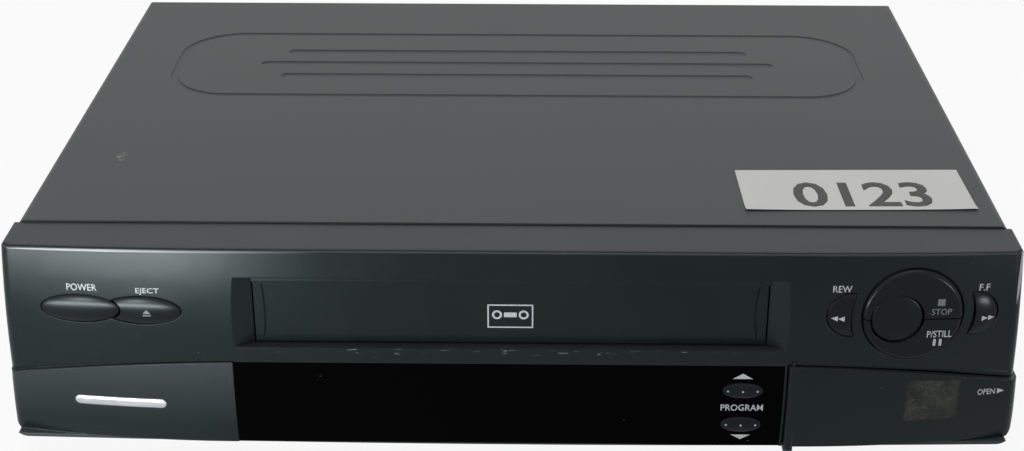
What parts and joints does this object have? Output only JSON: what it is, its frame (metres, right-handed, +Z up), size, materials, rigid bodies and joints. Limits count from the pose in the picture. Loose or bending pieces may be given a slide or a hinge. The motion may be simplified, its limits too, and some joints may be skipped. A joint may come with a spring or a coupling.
{
  "type": "video cassette recorder",
  "caption": "Free-standing video cassette recorder: bowed dark fascia with cassette flap, display window, drop of round and oval keys and a side-hinged socket door, grey steel cover, tape deck.",
  "frame": {"origin": "middle of the footprint, on the surface under the feet", "axes": "+X to the right seen from the front, +Y from the front to the back, +Z up"},
  "size_m": [0.3882, 0.2803, 0.094],
  "materials": {
    "charcoal_front": "satin moulded ABS, dark charcoal",
    "smoked_window": "gloss smoked acrylic",
    "key_caps": "satin moulded ABS, near black",
    "grey_painted_steel": "satin grey paint on steel sheet",
    "plated_steel": "zinc plated sheet steel",
    "spring_steel": "bright wire",
    "black_moulding": "black moulded plastic",
    "dark_rubber": "matt rubber",
    "circuit_board": "paper phenolic board with solder side",
    "component_black": "moulded components",
    "display_glass": "vacuum display glass",
    "socket_mouldings": "moulded sockets",
    "machined_aluminium": "fine turned",
    "white_acetal": "moulded acetal",
    "flat_cable": "flat cable"
  },
  "bodies": {
    "case": {"front_panel": "charcoal_front", "display_window": "smoked_window", "flap_spring": "spring_steel", "top_cover": "grey_painted_steel", "cover_screws": "plated_steel", "main_frame": "black_moulding", "bottom_plate": "plated_steel", "feet": "dark_rubber", "rear_panel": "grey_painted_steel", "scart_sockets": "socket_mouldings", "phono_sockets": "socket_mouldings", "tuner_modulator": "plated_steel", "mains_inlet": "socket_mouldings", "main_board": "circuit_board", "board_capacitors": "component_black", "board_chips": "component_black", "power_transformer": "component_black", "heat_sink": "machined_aluminium", "key_boards": "circuit_board", "display_board": "circuit_board", "display_tube": "display_glass", "tact_switches": "component_black", "front_av_sockets": "socket_mouldings", "ribbon_cable": "flat_cable", "deck_chassis": "plated_steel", "deck_screws": "plated_steel", "lower_drum": "machined_aluminium", "capstan_motor": "plated_steel", "audio_control_head": "machined_aluminium", "erase_head": "machined_aluminium", "loading_motor": "plated_steel", "lift_brackets": "plated_steel", "lift_top_plate": "plated_steel"},
    "flap": {"cassette_flap": "charcoal_front"},
    "door": {"control_door": "charcoal_front"},
    "power_key": {"power_button": "key_caps"},
    "eject_key": {"eject_button": "key_caps"},
    "stop_key": {"stop_button": "key_caps"},
    "pause_key": {"pause_button": "key_caps"},
    "play_key": {"play_button": "key_caps"},
    "rewind_key": {"rewind_button": "key_caps"},
    "fast_forward_key": {"fast_forward_button": "key_caps"},
    "program_up_key": {"program_up_button": "key_caps"},
    "program_down_key": {"program_down_button": "key_caps"},
    "record_key": {"record_button": "key_caps"},
    "sliders": {"lift_sliders": "plated_steel"},
    "holder": {"cassette_holder": "plated_steel"},
    "drum_top": {"upper_drum": "machined_aluminium"},
    "capstan": {"capstan_rotor": "plated_steel"},
    "pinch": {"pinch_arm": "plated_steel"},
    "roller": {"pinch_roller": "dark_rubber"},
    "supply": {"supply_reel": "white_acetal"},
    "takeup": {"takeup_reel": "white_acetal"},
    "idler": {"idler_arm": "plated_steel"},
    "idler_roller": {"idler_wheel": "dark_rubber"},
    "supply_post": {"supply_guide": "plated_steel"},
    "takeup_post": {"takeup_guide": "plated_steel"},
    "tension": {"tension_arm": "plated_steel"},
    "mode_gear": {"cam_gear": "white_acetal"},
    "worm": {"loading_worm": "white_acetal"}
  },
  "joints": [
    {"name": "flap_swing", "type": "hinge", "parent": "case", "child": "flap", "pos_m": [0, -0.13307, 0.0793], "axis": [1, 0, 0], "range_deg": [0, 85], "stiffness_Nm_per_rad": 0.006, "springref_deg": -11.46},
    {"name": "door_swing", "type": "hinge", "parent": "case", "child": "door", "pos_m": [0.1069, -0.13803, 0.028], "axis": [0, 0, 1], "range_deg": [-100, 0]},
    {"name": "power_press", "type": "slide", "parent": "case", "child": "power_key", "axis": [0.0593, 0.9982, 0], "range_m": [0, 0.001], "stiffness_N_per_m": 400},
    {"name": "eject_press", "type": "slide", "parent": "case", "child": "eject_key", "axis": [0.0593, 0.9982, 0], "range_m": [0, 0.001], "stiffness_N_per_m": 400},
    {"name": "stop_press", "type": "slide", "parent": "case", "child": "stop_key", "axis": [-0.0576, 0.9983, 0], "range_m": [0, 0.001], "stiffness_N_per_m": 400},
    {"name": "pause_press", "type": "slide", "parent": "case", "child": "pause_key", "axis": [-0.0576, 0.9983, 0], "range_m": [0, 0.001], "stiffness_N_per_m": 400},
    {"name": "play_press", "type": "slide", "parent": "case", "child": "play_key", "axis": [-0.0576, 0.9983, 0], "range_m": [0, 0.001], "stiffness_N_per_m": 400},
    {"name": "rewind_press", "type": "slide", "parent": "case", "child": "rewind_key", "axis": [-0.0244, 0.9997, 0], "range_m": [0, 0.001], "stiffness_N_per_m": 400},
    {"name": "fast_forward_press", "type": "slide", "parent": "case", "child": "fast_forward_key", "axis": [-0.0889, 0.996, 0], "range_m": [0, 0.001], "stiffness_N_per_m": 400},
    {"name": "program_up_press", "type": "slide", "parent": "case", "child": "program_up_key", "axis": [0, 1, 0], "range_m": [0, 0.001], "stiffness_N_per_m": 400},
    {"name": "program_down_press", "type": "slide", "parent": "case", "child": "program_down_key", "axis": [0, 1, 0], "range_m": [0, 0.001], "stiffness_N_per_m": 400},
    {"name": "record_press", "type": "slide", "parent": "case", "child": "record_key", "axis": [0, 1, 0], "range_m": [0, 0.001], "stiffness_N_per_m": 400},
    {"name": "holder_travel", "type": "slide", "parent": "case", "child": "sliders", "axis": [0, 1, 0], "range_m": [-0.05, 0]},
    {"name": "holder_drop", "type": "slide", "parent": "sliders", "child": "holder", "axis": [0, 0, -1], "range_m": [0, 0.02]},
    {"name": "drum_spin", "type": "hinge", "parent": "case", "child": "drum_top", "pos_m": [0, 0.072, 0.035], "axis": [0.0872, 0, 0.9962], "continuous": true},
    {"name": "capstan_spin", "type": "hinge", "parent": "case", "child": "capstan", "pos_m": [0.073, 0.022, 0.03], "axis": [0, 0, 1], "continuous": true},
    {"name": "pinch_swing", "type": "hinge", "parent": "case", "child": "pinch", "pos_m": [0.092, 0.044, 0.04], "axis": [0, 0, 1], "range_deg": [0, 40]},
    {"name": "roller_spin", "type": "hinge", "parent": "pinch", "child": "roller", "pos_m": [0.0712, 0.0433, 0.048], "axis": [0, 0, 1], "continuous": true},
    {"name": "supply_reel_spin", "type": "hinge", "parent": "case", "child": "supply", "pos_m": [-0.04625, -0.025, 0.034], "axis": [0, 0, 1], "continuous": true},
    {"name": "takeup_reel_spin", "type": "hinge", "parent": "case", "child": "takeup", "pos_m": [0.04625, -0.025, 0.034], "axis": [0, 0, 1], "continuous": true},
    {"name": "idler_swing", "type": "hinge", "parent": "case", "child": "idler", "pos_m": [0, -0.052, 0.034], "axis": [0, 0, 1], "range_deg": [-18.5, 18.5]},
    {"name": "idler_spin", "type": "hinge", "parent": "idler", "child": "idler_roller", "pos_m": [0, -0.01, 0.034], "axis": [0, 0, 1], "continuous": true},
    {"name": "supply_guide_travel", "type": "slide", "parent": "case", "child": "supply_post", "axis": [-0.4563, 0.8898, 0], "range_m": [0, 0.04383]},
    {"name": "takeup_guide_travel", "type": "slide", "parent": "case", "child": "takeup_post", "axis": [0.4563, 0.8898, 0], "range_m": [0, 0.04383]},
    {"name": "tension_swing", "type": "hinge", "parent": "case", "child": "tension", "pos_m": [-0.086, 0, 0.034], "axis": [0, 0, 1], "range_deg": [0, 25], "stiffness_Nm_per_rad": 0.02},
    {"name": "mode_gear_turn", "type": "hinge", "parent": "case", "child": "mode_gear", "pos_m": [-0.077, 0.06, 0.036], "axis": [0, 0, 1], "range_deg": [0, 270]},
    {"name": "worm_spin", "type": "hinge", "parent": "case", "child": "worm", "pos_m": [-0.0945, 0.06, 0.0358], "axis": [0, 1, 0], "continuous": true}
  ],
  "couplings": [
    {"joint": "takeup_guide_travel", "follows": "supply_guide_travel", "ratio": 1},
    {"joint": "mode_gear_turn", "follows": "supply_guide_travel", "rad_per_m": 107.52},
    {"joint": "worm_spin", "follows": "supply_guide_travel", "rad_per_m": 3010.5}
  ]
}
